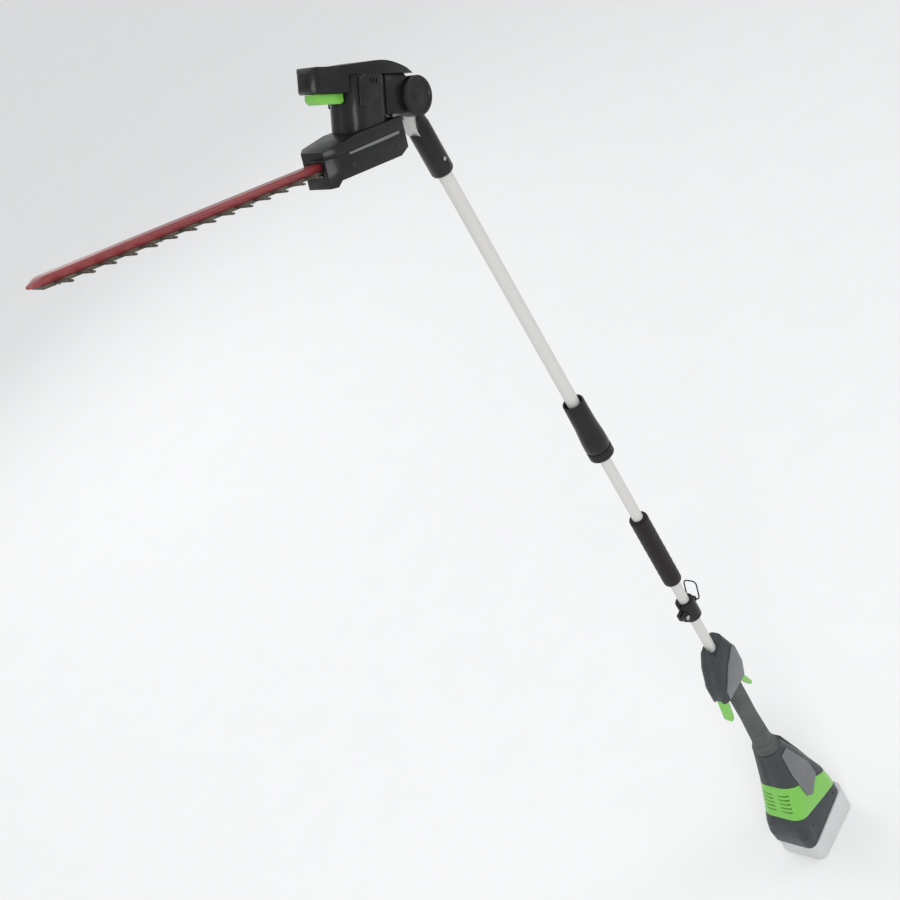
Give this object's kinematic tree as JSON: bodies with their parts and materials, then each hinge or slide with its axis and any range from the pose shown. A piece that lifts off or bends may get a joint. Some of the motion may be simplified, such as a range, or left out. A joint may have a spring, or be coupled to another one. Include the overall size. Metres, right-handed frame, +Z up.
{
  "type": "long-reach cordless hedge trimmer",
  "caption": "Cordless hedge trimmer on a telescopic pole, with a tilting head, twin reciprocating toothed blades and a rear battery housing.",
  "frame": {"origin": "centre of the flat underside of the battery housing, on the pole axis", "axes": "+Z up along the pole to the head, -X the way the blade points, Y across the symmetry plane"},
  "size_m": [0.8188, 0.116, 2.345],
  "materials": {
    "pole_paint": "satin pale grey paint",
    "black_plastic": "satin moulded",
    "dark_plastic": "fine textured moulded",
    "panel_plastic": "satin moulded",
    "green_plastic": "semi-gloss moulded",
    "pale_plastic": "textured moulded",
    "grip_rubber": "ribbed soft rubber",
    "foam": "open-cell foam",
    "cast_alloy": "bead-blasted casting",
    "bar_paint": "dark red powder coat",
    "blade_steel": "ground, laser-cut",
    "hardware_steel": "zinc plated",
    "wire_steel": "blackened wire",
    "motor_steel": "drawn can",
    "gear_steel": "hobbed, oiled",
    "circuit_board": "coated board",
    "battery_case": "fine textured moulded"
  },
  "bodies": {
    "lower_pole": {"battery_dock": "pale_plastic", "clamp_bolt": "hardware_steel", "clamp_nut": "hardware_steel", "controller_board": "circuit_board", "dock_ring": "dark_plastic", "foam_grip": "foam", "grip_collar": "grip_rubber", "grip_sleeve": "grip_rubber", "harness_clamp": "black_plastic", "lever_pins": "hardware_steel", "lower_tube": "pole_paint", "power_switch": "battery_case", "rear_bumper": "grip_rubber", "rear_housing_left": "dark_plastic", "rear_housing_right": "dark_plastic", "shield_left": "panel_plastic", "shield_right": "panel_plastic", "side_panel_left": "panel_plastic", "side_panel_right": "panel_plastic", "switch_housing_left": "dark_plastic", "switch_housing_right": "dark_plastic", "terminal_block": "battery_case", "vent_band": "green_plastic"},
    "upper_pole": {"upper_tube": "pole_paint", "lock_sleeve": "black_plastic", "clamp_collet": "pale_plastic", "pole_socket": "black_plastic", "socket_screw": "hardware_steel", "knuckle_arm": "cast_alloy"},
    "head": {"pivot_bolt": "hardware_steel", "motor_housing_left": "black_plastic", "motor_housing_right": "black_plastic", "hinge_cap_left": "black_plastic", "hinge_cap_right": "black_plastic", "top_cover": "black_plastic", "lever_pin": "hardware_steel", "motor_can": "motor_steel", "motor_bearings": "hardware_steel", "gear_bearing": "hardware_steel", "gear_housing_upper": "black_plastic", "gear_housing_lower": "black_plastic", "housing_screws": "hardware_steel", "guard_bar": "bar_paint", "blade_screws": "hardware_steel"},
    "lock_ring": {"lock_ring": "black_plastic"},
    "release_lever": {"release_lever": "green_plastic"},
    "lock_pin": {"lock_pin": "hardware_steel"},
    "rotor": {"rotor": "motor_steel"},
    "drive_gear": {"drive_gear": "gear_steel"},
    "upper_blade": {"upper_blade": "blade_steel"},
    "lower_blade": {"lower_blade": "blade_steel"},
    "trigger": {"trigger": "green_plastic"},
    "lock_off_lever": {"lock_off_lever": "green_plastic"},
    "harness_ring": {"harness_ring": "wire_steel"},
    "battery_left": {"battery_left": "battery_case"},
    "battery_right": {"battery_right": "battery_case"},
    "battery_latch_left": {"battery_latch_left": "green_plastic"},
    "battery_latch_right": {"battery_latch_right": "green_plastic"}
  },
  "joints": [
    {"name": "pole_slide", "type": "slide", "parent": "lower_pole", "child": "upper_pole", "axis": [0, 0, 1], "range_m": [-0.15, 0.3]},
    {"name": "lock_ring_turn", "type": "hinge", "parent": "upper_pole", "child": "lock_ring", "pos_m": [0, 0, 1.293], "axis": [0, 0, 1], "range_deg": [0, 90]},
    {"name": "head_tilt", "type": "hinge", "parent": "upper_pole", "child": "head", "pos_m": [0, 0, 2.107], "axis": [0, 1, 0], "range_deg": [-22.5, 112.5]},
    {"name": "release_lever_press", "type": "hinge", "parent": "head", "child": "release_lever", "pos_m": [-0.1404, 0, 2.22728], "axis": [0, -1, 0], "range_deg": [0, 5], "stiffness_Nm_per_rad": 1.2, "springref_deg": -6.88},
    {"name": "lock_pin_slide", "type": "slide", "parent": "head", "child": "lock_pin", "axis": [-0.8192, 0, 0.5736], "range_m": [0, 0.0023]},
    {"name": "gear_turn", "type": "hinge", "parent": "head", "child": "drive_gear", "pos_m": [-0.12029, 0, 2.15682], "axis": [0.3827, 0, 0.9239], "continuous": true},
    {"name": "rotor_turn", "type": "hinge", "parent": "head", "child": "rotor", "pos_m": [-0.08564, 0, 2.14248], "axis": [0.3827, 0, 0.9239], "continuous": true},
    {"name": "upper_blade_slide", "type": "slide", "parent": "head", "child": "upper_blade", "axis": [-0.9239, 0, 0.3827], "range_m": [-0.0044, 0.0044]},
    {"name": "lower_blade_slide", "type": "slide", "parent": "head", "child": "lower_blade", "axis": [-0.9239, 0, 0.3827], "range_m": [-0.0044, 0.0044]},
    {"name": "trigger_pull", "type": "hinge", "parent": "lower_pole", "child": "trigger", "pos_m": [-0.04, 0, 0.591], "axis": [0, -1, 0], "range_deg": [0, 10], "stiffness_Nm_per_rad": 0.8, "springref_deg": -6.88},
    {"name": "lock_off_press", "type": "hinge", "parent": "lower_pole", "child": "lock_off_lever", "pos_m": [0.024, 0, 0.589], "axis": [0, 1, 0], "range_deg": [0, 15], "stiffness_Nm_per_rad": 0.4, "springref_deg": -11.46},
    {"name": "harness_ring_swing", "type": "hinge", "parent": "lower_pole", "child": "harness_ring", "pos_m": [0.025, 0, 0.827], "axis": [0, 1, 0], "range_deg": [-28, 155]},
    {"name": "battery_left_slide", "type": "slide", "parent": "lower_pole", "child": "battery_left", "axis": [0, 0, -1], "range_m": [0, 0.09]},
    {"name": "battery_latch_left_press", "type": "slide", "parent": "battery_left", "child": "battery_latch_left", "axis": [0, 0, 1], "range_m": [0, 0.003], "stiffness_N_per_m": 300, "springref_m": -0.003},
    {"name": "battery_right_slide", "type": "slide", "parent": "lower_pole", "child": "battery_right", "axis": [0, 0, -1], "range_m": [0, 0.09]},
    {"name": "battery_latch_right_press", "type": "slide", "parent": "battery_right", "child": "battery_latch_right", "axis": [0, 0, 1], "range_m": [0, 0.003], "stiffness_N_per_m": 300, "springref_m": -0.003}
  ],
  "couplings": [
    {"joint": "lock_pin_slide", "follows": "release_lever_press", "m_per_rad": 0.024},
    {"joint": "rotor_turn", "follows": "gear_turn", "ratio": -4},
    {"joint": "lower_blade_slide", "follows": "upper_blade_slide", "ratio": -1}
  ]
}
